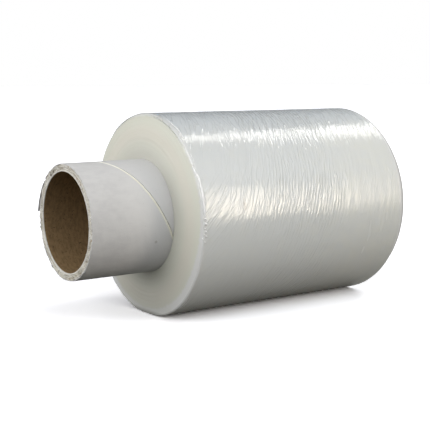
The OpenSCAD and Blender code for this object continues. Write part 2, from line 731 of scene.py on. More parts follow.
@dataclass(frozen=True)
class FilmFinish:
    """Clear film wound so deep that it looks milky: glossy outside, waxy at the ends.

    Attributes:
        zones: Where its zones lie.
        body: Colour of the deep film.
        far_tint: Colour towards the far end.
        painted_sky_tint: Colour of the painted cool sky light along the top.
        far_edge: Darker grey colour of a thin line along the far edge.
        end_body: Colour of the end faces.
        end_warm: Colour of their warmer band.
        end_painted_shade: Colour of the painted shade on the end faces by the core and at their
            foot.
        edge: Colour of the clearer turns that wrap over the edges.
        underside: Colour of the painted shade on the film close to the floor.
        painted_contact_shade: Colour of the painted contact shade where the film rests on the
            floor.
        smudge_tint: Colour of the small smudge in the middle of the lower bright band.
        smudge: Its place along the roll and around it.
        side_roughness: Roughness of the outside.
        end_roughness: Roughness of the end faces.
        coat: Strength of the outside's second, softer gloss.
        comb_height: Height of the close waves of the outside.
        hairline_height: Height of its sparser hairlines.
        turn_height: Height of the turns' edges on the end faces.
    """

    zones: FilmZones = field(default_factory=FilmZones)
    body: tuple = rgba(0.67, 0.687, 0.688)
    far_tint: tuple = rgba(0.697, 0.705, 0.675)
    painted_sky_tint: tuple = rgba(0.645, 0.68, 0.71)
    far_edge: tuple = rgba(0.47, 0.48, 0.475)
    end_body: tuple = rgba(0.665, 0.673, 0.592)
    end_warm: tuple = rgba(0.675, 0.655, 0.582)
    end_painted_shade: tuple = rgba(0.515, 0.515, 0.465)
    edge: tuple = rgba(0.69, 0.695, 0.69)
    underside: tuple = rgba(0.40, 0.405, 0.365)
    painted_contact_shade: tuple = rgba(0.20, 0.20, 0.185)
    smudge_tint: tuple = rgba(0.52, 0.50, 0.48)
    smudge: tuple = (-13.8 * MM, 180.5 * MM)
    side_roughness: float = 0.13
    end_roughness: float = 0.5
    coat: float = 0.3
    comb_height: float = 0.085 * MM
    hairline_height: float = 0.085 * MM
    turn_height: float = 0.035 * MM

    def comb(self, spot: FilmSpot, slant: float, seed: float) -> Wire:
        """Return close, even waves that run around the roll at a slant.

        Args:
            spot: The point of the surface.
            slant: Metres along the roll for each metre around it.
            seed: Third place in the noise, which sets the pattern.

        Returns:
            Heights of 0 to 1.
        """
        shader = spot.shader
        wave_width = 0.6 * MM
        wave_length = 9 * MM
        across = (spot.along - spot.around * slant) / wave_width
        place = shader.vector(across, spot.around / wave_length, seed)
        return shader.noise(place, 1.0, 1.0, 0.5)

    def creases(self, spot: FilmSpot, slant: float, seed: float) -> Wire:
        """Return narrow crests that run around the roll at a slant.

        A noise is stretched along the crests. The crests lie where it passes its
        middle value.

        Args:
            spot: The point of the surface.
            slant: Metres along the roll for each metre around it.
            seed: Third place in the noise, which sets the pattern.

        Returns:
            Heights of 0 to 1.
        """
        shader = spot.shader
        crease_pitch = 1.9 * MM
        crease_length = 15 * MM
        middle = 0.5
        half_crest = 0.06
        across = (spot.along - spot.around * slant) / crease_pitch
        place = shader.vector(across, spot.around / crease_length, seed)
        value = shader.noise(place, 1.0, 1.0, 0.4)
        return shader.rise(abs(value - middle), half_crest, 0.0)

    def folds(self, spot: FilmSpot, slant: float, seed: float) -> Wire:
        """Return even folds side by side: half of 1 + sin(2 pi w / pitch + drift).

        Here w is the way across the folds, and the drift is a soft noise.

        Args:
            spot: The point of the surface.
            slant: Metres along the roll for each metre around it.
            seed: Third place in the noise, which sets the pattern.

        Returns:
            Heights of 0 to 1.
        """
        shader = spot.shader
        fold_pitch = 1.5 * MM
        drift_width = 9 * MM
        drift_length = 14 * MM
        drift_radians = 9.0
        place = shader.vector(spot.along / drift_width, spot.around / drift_length, seed)
        drift = shader.noise(place, 1.0, 2.0)
        across = spot.along - spot.around * slant
        phase = across * (math.tau / fold_pitch) + drift * drift_radians
        return phase.math("SINE") * 0.5 + 0.5

    def spot(self, shader: Shader, size: RollSize) -> FilmSpot:
        """Read the place on the surface and work out the zones that many parts need.

        Args:
            shader: The material's shader.
            size: Sizes of the roll.

        Returns:
            The point of the surface.
        """
        ragged_scale = 700.0
        ragged_depth = 1.8 * MM
        low_depth = 2.2 * MM
        along, around = shader.surface_place()
        x, y, z = shader.axes(shader.object_place())
        radius = from_axis(y, z, size.axis_z)
        ragged = shader.noise(shader.vector(along, around), ragged_scale, 3.0, 0.7)
        low_down = shader.rise(z, *size.levels(self.zones.low_down))
        border = radius + (ragged - 0.5) * ragged_depth + low_down * low_depth
        side_border = shift(size.film_r, self.zones.side_border)
        gloss_border = shift(size.film_r, self.zones.gloss_border)
        front = (share * size.film_r for share in self.zones.front)
        return FilmSpot(
            shader=shader,
            size=size,
            along=along,
            around=around,
            x=x,
            z=z,
            radius=radius,
            ragged=ragged,
            on_side=shader.rise(border, *side_border),
            glossy=shader.rise(radius, *gloss_border),
            front=shader.rise(y, *front),
            far_line=shader.rise(along, *shift(size.film_far, self.zones.far_line)),
        )

    def smudged(self, spot: FilmSpot) -> Wire:
        """Return how strongly the smudge covers a point.

        Args:
            spot: The point of the surface.

        Returns:
            A share of 0 to 1.
        """
        shader = spot.shader
        along_stretch, around_stretch = 1.6, 0.6
        ragged_depth = 2.4 * MM
        outer, inner = 3.2 * MM, 1.2 * MM
        strength = 0.9
        off_along = (spot.along - self.smudge[0]) * along_stretch
        off_around = (spot.around - self.smudge[1]) * around_stretch
        away = shader.measure("LENGTH", shader.vector(off_along, off_around))
        return shader.rise(away + spot.ragged * ragged_depth, outer, inner) * strength

    def side_colour(self, spot: FilmSpot) -> Wire:
        """Return the outside's colour, with a painted cool sky light along its top.

        Args:
            spot: The point of the surface.

        Returns:
            The colour.
        """
        shader = spot.shader
        cloud_scale = 60.0
        cloud_share = 1.6
        mottle_scale = 170.0
        mottle_seed = 9.0
        mottle_steps = (0.42, 0.62)
        mottle_share = 0.35
        less = 0.15
        painted_sky_share = 0.7
        far_line_share = 0.75
        clouds = shader.noise(shader.vector(spot.along, spot.around * 0.5), cloud_scale, 3.0)
        towards_far = shader.rise(spot.along, 0.0, spot.size.film_far)
        mottle_place = shader.vector(spot.along, spot.around, mottle_seed)
        mottle = shader.rise(shader.noise(mottle_place, mottle_scale, 3.0), *mottle_steps)
        tinted = towards_far * clouds * cloud_share + mottle * mottle_share - less
        side = shader.mix(tinted, self.body, self.far_tint)
        side = shader.mix(self.smudged(spot), side, self.smudge_tint)
        # Painted light: the top is tinted cooler, as if the sky's cool light fell on it.
        painted_sky = spot.above(self.zones.painted_sky_zone)
        side = shader.mix(painted_sky * painted_sky_share, side, self.painted_sky_tint)
        side = shader.mix(spot.far_line * far_line_share, side, self.far_edge)
        near_wrap = spot.into(self.zones.near_wrap)
        far_wrap = shader.rise(spot.along, *shift(spot.size.film_far, self.zones.far_wrap))
        return shader.mix((near_wrap + far_wrap) * spot.on_side, side, self.edge)

    def end_colour(self, spot: FilmSpot) -> Wire:
        """Return the end faces' colour, with painted shade by the core and at their foot.

        Args:
            spot: The point of the surface.

        Returns:
            The colour.
        """
        shader = spot.shader
        ring_width = 2.6 * MM
        band_share = 0.8
        ring_share = 0.3
        less = 0.1
        upper_share = 0.8
        foot_shade_share = 0.4
        rings = shader.noise(shader.vector(spot.radius / ring_width, 0.0, spot.x), 1.0, 3.0, 0.6)
        warm_start = spot.outward(self.zones.warm_start)
        warm_end = spot.outward(self.zones.warm_end)
        warm = warm_start * warm_end * band_share + rings * ring_share - less
        ends = shader.mix(warm, self.end_body, self.end_warm)
        # Painted shade: the end faces darken by the core, most above it, and towards their foot by
        # the floor.
        upper = spot.above(self.zones.end_upper)
        core_shade_zone = spot.outward(self.zones.core_shade_zone)
        inner = core_shade_zone * (upper * upper_share + (1.0 - upper_share))
        ends = shader.mix(inner, ends, self.end_painted_shade)
        foot = spot.above(self.zones.foot_shade_zone)
        return shader.mix(foot * foot_shade_share, ends, self.end_painted_shade)

    def colour(self, spot: FilmSpot) -> Wire:
        """Return the whole film's colour, with painted shade towards the floor and along its
        contact line.

        Args:
            spot: The point of the surface.

        Returns:
            The colour.
        """
        shader = spot.shader
        underside_shade_share = 0.38
        painted_contact_share = 0.75
        side = self.side_colour(spot)
        colour = shader.mix(spot.on_side, self.end_colour(spot), side)
        # Painted shade: the film darkens close to the floor, and most where it rests on it.
        underside = spot.over_floor(self.zones.underside)
        colour = shader.mix(underside * underside_shade_share, colour, self.underside)
        painted_contact_shade = spot.over_floor(self.zones.painted_contact_shade)
        return shader.mix(painted_contact_shade * painted_contact_share, colour, self.painted_contact_shade)

    def wrinkles(self, spot: FilmSpot) -> Wire:
        """Return the outside's wrinkles: waves, creases and even folds.

        Args:
            spot: The point of the surface.

        Returns:
            Heights in metres, before the calmer places are made quiet.
        """
        shader = spot.shader
        patch_scale = 60.0
        patch_seed = 5.0
        patch_steps = (0.40, 0.60)
        steep_loss = 0.7
        crease_share = 0.9
        fringe_gain = 0.6
        fold_share = 0.72
        fan = spot.into(self.zones.fan) * spot.front
        patch_place = shader.vector(spot.along, spot.around, patch_seed)
        strength = shader.rise(shader.noise(patch_place, patch_scale, 1.0), *patch_steps)
        gentle = self.creases(spot, slant=-0.2, seed=3.1)
        steep = self.creases(spot, slant=-0.42, seed=7.7)
        cross = self.creases(spot, slant=-0.9, seed=12.4)
        level = gentle * strength + steep * (1.0 - strength * steep_loss)
        level = level * (1.0 - fan) + cross * fan
        fringe = spot.into(self.zones.fringe_start)
        fringe = fringe * spot.into(self.zones.fringe_end)
        level = level * (fringe * fringe_gain + crease_share)
        level = level + self.folds(spot, slant=-0.26, seed=41.2) * fringe * fold_share
        waves = self.comb(spot, slant=-0.28, seed=21.3) * (1.0 - fan)
        waves = waves + self.comb(spot, slant=-0.8, seed=30.9) * fan
        return waves * (strength * 0.5 + 0.5) * self.comb_height + level * self.hairline_height

    def loudness(self, spot: FilmSpot) -> Wire:
        """Return how strong the wrinkles are from place to place.

        Args:
            spot: The point of the surface.

        Returns:
            A factor for the wrinkles' heights.
        """
        calm_gain = 0.7
        top_gain = 2.1
        below_loss = 0.5
        between_loss = 0.45
        calm = spot.into(self.zones.calm)
        topside = spot.above(self.zones.topside)
        below = spot.above(self.zones.below_bands)
        between = spot.above(self.zones.between_lower)
        between = between * spot.above(self.zones.between_upper)
        loudest = (calm * calm_gain + (1.0 - calm_gain)).math("MAXIMUM", topside * top_gain)
        return loudest * (1.0 - below * below_loss - between * between_loss)

    def normal(self, spot: FilmSpot) -> Wire:
        """Return the film's normals: the outside's wrinkles and the turns of the ends.

        Args:
            spot: The point of the surface.

        Returns:
            The bumped normals.
        """
        shader = spot.shader
        turn_width = 0.45 * MM
        turn_length = 60 * MM
        turn_place = shader.vector(spot.radius / turn_width, spot.around / turn_length, spot.x)
        turns = shader.noise(turn_place, 1.0, 2.0, 0.7)
        end_height = turns * (1.0 - spot.on_side) * self.turn_height
        wrinkles = self.wrinkles(spot) * self.loudness(spot)
        return shader.bump(wrinkles * spot.glossy + end_height, 1.0)

    def roughness(self, spot: FilmSpot) -> Wire:
        """Return the film's roughness, softer by both edges of the side in front.

        Args:
            spot: The point of the surface.

        Returns:
            The roughness.
        """
        shader = spot.shader
        smear_width = 3 * MM
        smear_length = 25 * MM
        smear_seed = 2.0
        smear_gain = 0.1
        softening = 0.13
        line_softening = 0.35
        along, around = spot.along / smear_width, spot.around / smear_length
        smears = shader.noise(shader.vector(along, around, smear_seed), 1.0, 2.0)
        far_soft = spot.into(self.zones.far_soft)
        near_soft = spot.into(self.zones.near_soft)
        softer = (far_soft + near_soft) * spot.front * softening + spot.far_line * line_softening
        side = smears * smear_gain + softer + (self.side_roughness - smear_gain / 2)
        return side * spot.glossy + (1.0 - spot.glossy) * self.end_roughness

    def material(self, size: RollSize) -> bpy.types.Material:
        """Make the film's material.

        Args:
            size: Sizes of the roll.

        Returns:
            The material.
        """
        made = bpy.data.materials.new("clear_stretch_film")
        shader = Shader(made)
        spot = self.spot(shader, size)
        values = {
            "Base Color": self.colour(spot),
            "Roughness": self.roughness(spot),
            "IOR": 1.5,
            "Specular IOR Level": 1.0,
            "Subsurface Weight": 0.35,
            "Subsurface Radius": (1.0, 0.95, 0.85),
            "Subsurface Scale": 2.5 * MM,
            "Coat Weight": spot.glossy * (1.0 - spot.far_line) * self.coat,
            "Coat Roughness": 0.28,
            "Coat IOR": 1.5,
            "Normal": self.normal(spot),
        }
        shader.finish(shader.add("ShaderNodeBsdfPrincipled", values=values))
        return made


@dataclass(frozen=True)
class Zone:
    """A colour that takes over along the core.

    Attributes:
        start: X at which it starts.
        full: X at which it is complete.
        colour: The colour.
    """

    start: float
    full: float
    colour: tuple


@dataclass(frozen=True)
class Spot:
    """A small round mark.

    Attributes:
        place: Its middle.
        radius: Its radius.
        colour: Its colour.
    """

    place: tuple
    radius: float
    colour: tuple


@dataclass(frozen=True)
class PaperFinish:
    """Matte paper or board, with fibres, soft patches and specks.

    Attributes:
        name: Name of the material.
        body: Main colour.
        shade: Colour of the darker patches.
        speck: Colour of the specks.
        speck_amount: Share of the surface that specks cover.
        roughness: Roughness all over.
        fibre_height: Height of the fibres.
        patch_size: Size of a patch, along the core and across it.
        zones: Colours that take over along the core.
        spots: Small marks.
        ply_lines: How strongly the plies show as rings on a cut.
        axis_z: Height of the core's axis, which the rings need.
    """

    name: str
    body: tuple
    shade: tuple
    speck: tuple
    speck_amount: float
    roughness: float
    fibre_height: float
    patch_size: tuple = (11 * MM, 11 * MM)
    zones: tuple = ()
    spots: tuple = ()
    ply_lines: float = 0.0
    axis_z: float = 0.0

    def marked(self, shader: Shader, place: Wire, colour: Wire) -> Wire:
        """Lay the plies' rings and the small marks over a colour.

        Args:
            shader: The material's shader.
            place: The place on the object.
            colour: The colour below.

        Returns:
            The marked colour.
        """
        ply_width = 0.26 * MM
        ply_length = 5 * MM
        ply_steps = (0.50, 0.60)
        full_share = 0.5
        if self.ply_lines:
            _, y, z = shader.axes(place)
            ply_radius = from_axis(y, z, self.axis_z) / ply_width
            ply_place = shader.vector(ply_radius, y / ply_length, z / ply_length)
            lines = shader.rise(shader.noise(ply_place, 1.0, 2.0, 0.6), *ply_steps)
            colour = shader.mix(lines * self.ply_lines, colour, self.speck)
        for spot in self.spots:
            off = shader.measure("DISTANCE", place, spot.place)
            marked = shader.rise(off, spot.radius, full_share * spot.radius)
            colour = shader.mix(marked, colour, spot.colour)
        return colour

    def material(self) -> bpy.types.Material:
        """Make the paper's material.

        Returns:
            The material.
        """
        speck_scale = 1400.0
        speck_top = 0.72
        speck_fade = 0.08
        fibre_scale = 2600.0
        fibre_stretch = (0.35, 1.0, 1.0)
        fibre_share = 0.7
        patch_steps = (0.35, 0.7)
        roughness_spread = 0.12
        made = bpy.data.materials.new(self.name)
        shader = Shader(made)
        place = shader.object_place()
        along_scale, across_scale = (1.0 / size for size in self.patch_size)
        patch_place = shader.stretched(place, (along_scale, across_scale, across_scale))
        patches = shader.noise(patch_place, 1.0, 4.0, 0.65)
        specks = shader.noise(place, speck_scale, 2.0, 0.6)
        fibres = shader.noise(shader.stretched(place, fibre_stretch), fibre_scale, 3.0, 0.7)
        shaded = shader.mix(shader.rise(patches, *patch_steps), self.body, self.shade)
        x, _, _ = shader.axes(place)
        for zone in self.zones:
            shaded = shader.mix(shader.rise(x, zone.start, zone.full), shaded, zone.colour)
        speck_from = speck_top - self.speck_amount
        specked = shader.rise(specks, speck_from, speck_from + speck_fade)
        colour = shader.mix(specked, shaded, self.speck)
        height = fibres * fibre_share + patches * (1.0 - fibre_share)
        values = {
            "Base Color": self.marked(shader, place, colour),
            "Roughness": fibres * roughness_spread + (self.roughness - roughness_spread / 2),
            "Specular IOR Level": 0.3,
            "Normal": shader.bump(height, self.fibre_height),
        }
        shader.finish(shader.add("ShaderNodeBsdfPrincipled", values=values))
        return made


WHITE_PAPER = PaperFinish(
    name="white_core_paper",
    body=rgba(0.618, 0.612, 0.613),
    shade=rgba(0.568, 0.562, 0.567),
    speck=rgba(0.53, 0.52, 0.51),
    speck_amount=0.03,
    roughness=0.75,
    fibre_height=0.045 * MM,
    patch_size=(5 * MM, 2.5 * MM),
)
CUT_BOARD = PaperFinish(
    name="cream_core_board",
    body=rgba(0.73, 0.715, 0.672),
    shade=rgba(0.645, 0.63, 0.575),
    speck=rgba(0.30, 0.25, 0.18),
    speck_amount=0.05,
    roughness=0.9,
    fibre_height=0.16 * MM,
    patch_size=(3 * MM, 3 * MM),
    ply_lines=0.8,
)
SEAM_BOARD = PaperFinish(
    name="cream_seam_board",
    body=rgba(0.90, 0.885, 0.79),
    shade=rgba(0.84, 0.81, 0.71),
    speck=rgba(0.72, 0.68, 0.58),
    speck_amount=0.0,
    roughness=0.8,
    fibre_height=0.03 * MM,
)
KRAFT_PAPER = PaperFinish(
    name="brown_kraft_paper",
    body=rgba(0.30, 0.200, 0.100),
    shade=rgba(0.200, 0.131, 0.064),
    speck=rgba(0.07, 0.042, 0.024),
    speck_amount=0.08,
    roughness=0.8,
    fibre_height=0.08 * MM,
    patch_size=(0.9 * MM, 2.2 * MM),
)


@dataclass
class WoundFilm:
    """The film, wound in several hundred turns and pressed flat where it rests.

    Attributes:
        size: Sizes of the roll.
        finish: The film's finish.
        rim_depth: Depth of the clearer rim that the last turns make around the near end face.
        rim_step: How far the rim is set back from the face.
        rim_width: Width over which the rim rounds into the outside.
        edge_round: Radius of the far edge.
        turns_around: Steps around the roll.
        steps_along: Steps along the outside.
        rings: Rings on each end face.
        edge_steps: Steps over each edge.
        comb_pitch: Distance between the fine wrinkles' crests.
        comb_depth: Spread of the fine wrinkles' heights.
        crease_pitch: Distance between the sharper creases.
        crease_depth: Height of the sharper creases.
        crinkle_depth: Spread of the crinkles' heights by the near edge.
        band_depth: Spread of the heights of the bands around the roll.
        ring_depth: Spread of the rings' heights on the end faces.
        dome_from: Share of the way out over an end face from which it falls back.
        dome_rise: How far it falls back at its border.
        press_blend: Width over which the flat spot meets the round.
        loose_turns: Angle, width and strength of the places where outer turns stand off.
        near_shift: Angle, width and millimetres of the places where the near edge stands out.
        far_shift: The same for the far edge.
    """

    size: RollSize
    finish: FilmFinish = field(default_factory=FilmFinish)
    rim_depth: float = 1.0 * MM
    rim_step: float = 0.06 * MM
    rim_width: float = 1.3 * MM
    edge_round: float = 0.5 * MM
    turns_around: int = 240
    steps_along: int = 322
    rings: int = 30
    edge_steps: int = 8
    comb_pitch: float = 1.4 * MM
    comb_depth: float = 0.005 * MM
    crease_pitch: float = 2.6 * MM
    crease_depth: float = 0.009 * MM
    crinkle_depth: float = 0.022 * MM
    band_depth: float = 0.008 * MM
    ring_depth: float = 0.035 * MM
    dome_from: float = 0.3
    dome_rise: float = 1.15 * MM
    press_blend: float = 0.35 * MM
    loose_turns: tuple = ((113, 13, 1.0), (62, 12, 0.7), (318, 16, 0.6), (20, 10, 0.5))
    near_shift: tuple = ((40, 38, 0.65), (306, 30, 1.0))
    far_shift: tuple = ((165, 42, 0.85), (242, 24, -2.3))

    def slants(self, x: np.ndarray, angle: np.ndarray) -> np.ndarray:
        """Return how steeply the wrinkles climb, in metres along for a metre around.

        They lean most by the handle's edge, and least towards the far end.

        Args:
            x: Way into the film from the handle's end face.
            angle: Angle around the roll.

        Returns:
            The slant at each place.
        """
        lean = 0.3
        edge_gain = 0.3
        far_loss = 0.15
        by_edge = 1.0 - smooth_step(x, 3 * MM, 20 * MM)
        far_off = smooth_step(x, 50 * MM, 75 * MM)
        facing = 0.5 - 0.5 * np.cos(angle)
        return -(lean - far_loss * far_off) - edge_gain * by_edge * facing

    def outside_relief(
        self, rng: np.random.Generator, x: np.ndarray, angle: np.ndarray
    ) -> np.ndarray:
        """Return the heights of the wrinkles and bands on the outside.

        A fine comb of wrinkles is added to sparser, sharper creases, to bands that
        run straight around, and to crinkles by the near edge.

        Args:
            rng: Source of the noise.
            x: Way into the film, for each row.
            angle: Angle around the roll, for each column.

        Returns:
            Heights over the round form.
        """
        slant_spread = 0.06
        comb_length = 12 * MM
        crease_length = 20 * MM
        crease_lean = 1.15
        band_pitch = 7 * MM
        band_length = 120 * MM
        swell_share = 1.5
        crinkle_pitch = 1.6 * MM
        crinkle_length = 2.5 * MM
        crinkle_slant = -0.6
        crinkle_middle = 1.2 * MM
        crinkle_width = 1.4 * MM
        near_fade = 0.8 * MM
        far_fade = 1.5 * MM
        shape = (len(x), len(angle))
        extent = (float(x[-1] - x[0]), math.tau * self.size.film_r)
        wanted = self.slants(x[:, None], angle[None, :])
        wanted = wanted + slant_spread * soft_noise(rng, shape, extent, (25 * MM, 40 * MM))
        comb = self.blend_slants(rng, wanted, extent, self.comb_pitch, comb_length)
        leaning = wanted * crease_lean
        creases = self.blend_slants(rng, leaning, extent, self.crease_pitch, crease_length)
        sharp = np.maximum(creases - 0.2, 0.0) ** 1.5
        comb_share = 0.85 + 0.3 * soft_noise(rng, shape, extent, (16 * MM, 20 * MM))
        crease_share = 0.8 + 0.4 * soft_noise(rng, shape, extent, (20 * MM, 25 * MM))
        raised = self.comb_depth * comb * np.clip(comb_share, 0.3, 1.5)
        raised += self.crease_depth * sharp * np.clip(crease_share, 0.2, 1.6)
        bands = fine_noise(rng, shape, extent, band_pitch, band_length, 0.0)
        swell = soft_noise(rng, shape, extent, (40 * MM, 60 * MM))
        raised += self.band_depth * (bands + swell_share * swell)
        crinkles = fine_noise(rng, shape, extent, crinkle_pitch, crinkle_length, crinkle_slant)
        by_edge = np.exp(-(((x - crinkle_middle) / crinkle_width) ** 2))
        raised += self.crinkle_depth * crinkles * by_edge[:, None]
        fade = smooth_step(x - x[0], 0.0, near_fade) * smooth_step(x[-1] - x, 0.0, far_fade)
        return raised * fade[:, None]

    def blend_slants(
        self,
        rng: np.random.Generator,
        wanted: np.ndarray,
        extent: tuple[float, float],
        pitch: float,
        length: float,
    ) -> np.ndarray:
        """Return wrinkles whose slant changes from place to place.

        Fields of wrinkles at a few slants are blended. Each counts where its slant
        is near to the wanted one.

        Args:
            rng: Source of the noise.
            wanted: The slant at each place.
            extent: Metres that the field covers.
            pitch: Distance between crests.
            length: Length of a wrinkle.

        Returns:
            Values with a spread of about 1.
        """
        steepest = -1.2
        fields = 9
        least_weight = 0.05
        steps = np.linspace(steepest, 0.0, fields)
        spacing = steps[1] - steps[0]
        total = np.zeros(wanted.shape)
        weights = np.zeros(wanted.shape)
        for slant in steps:
            near = np.clip(1.0 - np.abs(wanted - slant) / spacing, 0.0, 1.0)
            total += near * fine_noise(rng, wanted.shape, extent, pitch, length, float(slant))
            weights += near ** 2
        return total / np.sqrt(np.maximum(weights, least_weight))

    def end_relief(self, rng: np.random.Generator, shape: tuple[int, int]) -> np.ndarray:
        """Return how far the turns stand out of an end face, which is slightly domed.

        Args:
            rng: Source of the noise.
            shape: Number of rings and of steps around.

        Returns:
            Heights over the flat face.
        """
        turn_pitch = 1.4 * MM
        turn_length = 90 * MM
        drift_share = 2.0
        dome_power = 2.2
        middle_share = 0.8
        depth = self.size.film_r - self.size.film_in_r
        extent = (depth, math.tau * self.size.film_r)
        turns = fine_noise(rng, shape, extent, turn_pitch, turn_length, 0.0)
        drift = soft_noise(rng, shape, extent, (9 * MM, 70 * MM))
        relief = self.ring_depth * turns + drift_share * self.ring_depth * drift
        outward = np.linspace(0.0, 1.0, shape[0])[:, None]
        way_down = np.clip((outward - self.dome_from) / (1.0 - self.dome_from), 0.0, 1.0)
        return relief - relief.max() + self.dome_rise * (middle_share - way_down ** dome_power)

    def press_flat(self, points: np.ndarray) -> np.ndarray:
        """Press the underside onto the floor.

        A height z becomes (z + sqrt(z z + b b)) / 2, less the lowest of these,
        which is flat below the floor and unchanged well above it.

        Args:
            points: Points of the round form.

        Returns:
            Points of the pressed form.
        """
        height = points[..., 2]
        soft = (height + np.sqrt(height ** 2 + self.press_blend ** 2)) / 2
        pressed = points.copy()
        pressed[..., 2] = soft - soft.min()
        return pressed

    def rim_groove(self, angle: np.ndarray) -> np.ndarray:
        """Return how far the rim's rows are set back or forward by the loose turns.

        Where a few outer turns stand off, a narrow groove opens between the end
        face and the rim, and the rim beside it stands forward. Each such place
        fades out to both sides.

        Args:
            angle: Angle of each column.

        Returns:
            Way into the film, for each row of the rim and each column.
        """
        set_back = (0.9, 0.65, -0.22, -0.28, -0.22, -0.1)
        opened = sum(
            share * bulge(angle, middle, width) for middle, width, share in self.loose_turns
        )
        rows = np.zeros((self.edge_steps, 1))
        rows[:len(set_back), 0] = np.array(set_back) * MM
        return rows * opened[None, :]

    @staticmethod
    def edge_shift(places: tuple, angle: np.ndarray) -> np.ndarray:
        """Return how far an edge stands out, as the sum of its bulges.

        Args:
            places: Angle, width and distance of each bulge, in degrees and millimetres.
            angle: Angle of each column.

        Returns:
            Way out of the end face, for each column.
        """
        return sum(
            distance * MM * bulge(angle, middle, width) for middle, width, distance in places
        )[None, :]

    def surface(self, rng: np.random.Generator) -> np.ndarray:
        """Work out the film's whole surface as one closed profile, carried around.

        The profile runs out along the near end face, steps back to the rim, rounds
        into the outside as a quarter of an ellipse, goes over the far edge as a
        quarter of a circle and comes in along the far end face.

        Args:
            rng: Source of the noise.

        Returns:
            Points by row and column.
        """
        size = self.size
        overlap = 0.12 * MM
        far_stand = 0.3 * MM
        lag_spread = 0.45
        face_power = 3
        side_power = 8
        length = size.film_far - size.film_near
        angle = math.radians(270) + math.tau * np.arange(self.turns_around) / self.turns_around
        steady = np.ones((1, self.turns_around))
        near_r = np.linspace(size.film_in_r, size.film_r - self.rim_depth, self.rings)
        far_r = np.linspace(size.film_in_r, size.film_r - self.edge_round, self.rings)
        turned = np.radians(np.linspace(0, 90, self.edge_steps + 1))[:-1]
        rim_shape = (self.edge_steps, self.turns_around)
        rim_lag = soft_noise(rng, rim_shape, (4 * MM, 250 * MM), (9 * MM, 9 * MM))[:1]
        rim_set = self.rim_step * np.clip(1.0 + lag_spread * rim_lag, 0.25, 2.0)
        rim_x = rim_set + self.rim_width * (1 - np.cos(turned))[:, None]
        rim_x = rim_x + self.rim_groove(angle)
        rim_in = self.rim_depth - overlap
        rim_r = (size.film_r - rim_in * (1 - np.sin(turned)))[:, None] * steady
        edge_x = self.edge_round * (1 - np.cos(turned))[1:]
        edge_r = size.film_r - self.edge_round * (1 - np.sin(turned))[1:]
        side_share = np.linspace(0.0, 1.0, self.steps_along)[:, None]
        side_from = rim_set + self.rim_width
        side_x = side_from + side_share * (length - self.edge_round - side_from)
        near_face = self.end_relief(rng, (self.rings, self.turns_around))
        far_face = self.end_relief(rng, (self.rings, self.turns_around))
        outward = np.linspace(0.0, 1.0, self.rings)[:, None] ** face_power
        near_out = self.edge_shift(self.near_shift, angle)
        far_out = self.edge_shift(self.far_shift, angle) + far_stand
        near_face = near_face + outward * near_out
        far_face = far_face + outward * far_out
        outside = self.outside_relief(rng, side_x.mean(axis=1), angle)
        crinkled = outside[:1] * np.sin(turned)[:, None]
        far_edge = far_face[-1:] * np.cos(turned)[1:, None]
        near_pull = near_out * (1 - side_share) ** side_power
        far_pull = far_out * side_share ** side_power
        along = size.film_near + np.concatenate((
            -near_face,
            rim_x - near_face[-1:] * np.cos(turned)[:, None],
            side_x - near_pull + far_pull,
            (length - edge_x[:, None] + far_edge)[::-1],
            (length + far_face)[::-1],
        ))
        radius = np.concatenate((
            near_r[:, None] * steady,
            rim_r + crinkled,
            size.film_r + outside,
            (edge_r[:, None] * steady)[::-1],
            (far_r[:, None] * steady)[::-1],
        ))
        points = around_axis(along, radius, angle[None, :], size.axis_z)
        return self.press_flat(points)

    def build(self, rng: np.random.Generator) -> None:
        """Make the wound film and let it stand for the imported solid.

        Args:
            rng: Source of the noise.
        """
        points = self.surface(rng)
        rows, columns = points.shape[:2]
        faces = grid_faces(rows, columns, True, True)
        along = points[..., 0].reshape(-1)[faces]
        column = faces % columns
        closing = column.max(axis=1, keepdims=True) == columns - 1
        wrapped = np.where((column == 0) & closing, columns, column)
        around = wrapped * (math.tau * self.size.film_r / columns)
        piece = make_piece("wound_film", points, faces, np.stack((along, around), axis=-1))
        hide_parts("stretch_film")
        dress(piece, self.finish.material(self.size))


@dataclass(frozen=True)
class CurlFinish:
    """The rolled-up edge of a single film: clear, thin and bright.

    Attributes:
        body: Colour of the film.
        milky: Colour of its milkier places.
        roughness: Roughness all over.
    """

    body: tuple = rgba(0.98, 0.98, 0.98)
    milky: tuple = rgba(0.88, 0.88, 0.88)
    roughness: float = 0.2

    def material(self) -> bpy.types.Material:
        """Make the curls' material, which is milkier in some places than in others.

        Returns:
            The material.
        """
        cloud_scale = 500.0
        cloud_steps = (0.4, 0.7)
        roughness_spread = 0.1
        made = bpy.data.materials.new("curled_film_edge")
        shader = Shader(made)
        clouds = shader.noise(shader.object_place(), cloud_scale, 2.0)
        colour = shader.mix(shader.rise(clouds, *cloud_steps), self.body, self.milky)
        values = {
            "Base Color": colour,
            "Roughness": clouds * roughness_spread + (self.roughness - roughness_spread / 2),
            "Specular IOR Level": 1.0,
            "Coat Weight": 0.7,
            "Coat Roughness": 0.25,
        }
        shader.finish(shader.add("ShaderNodeBsdfPrincipled", values=values))
        return made


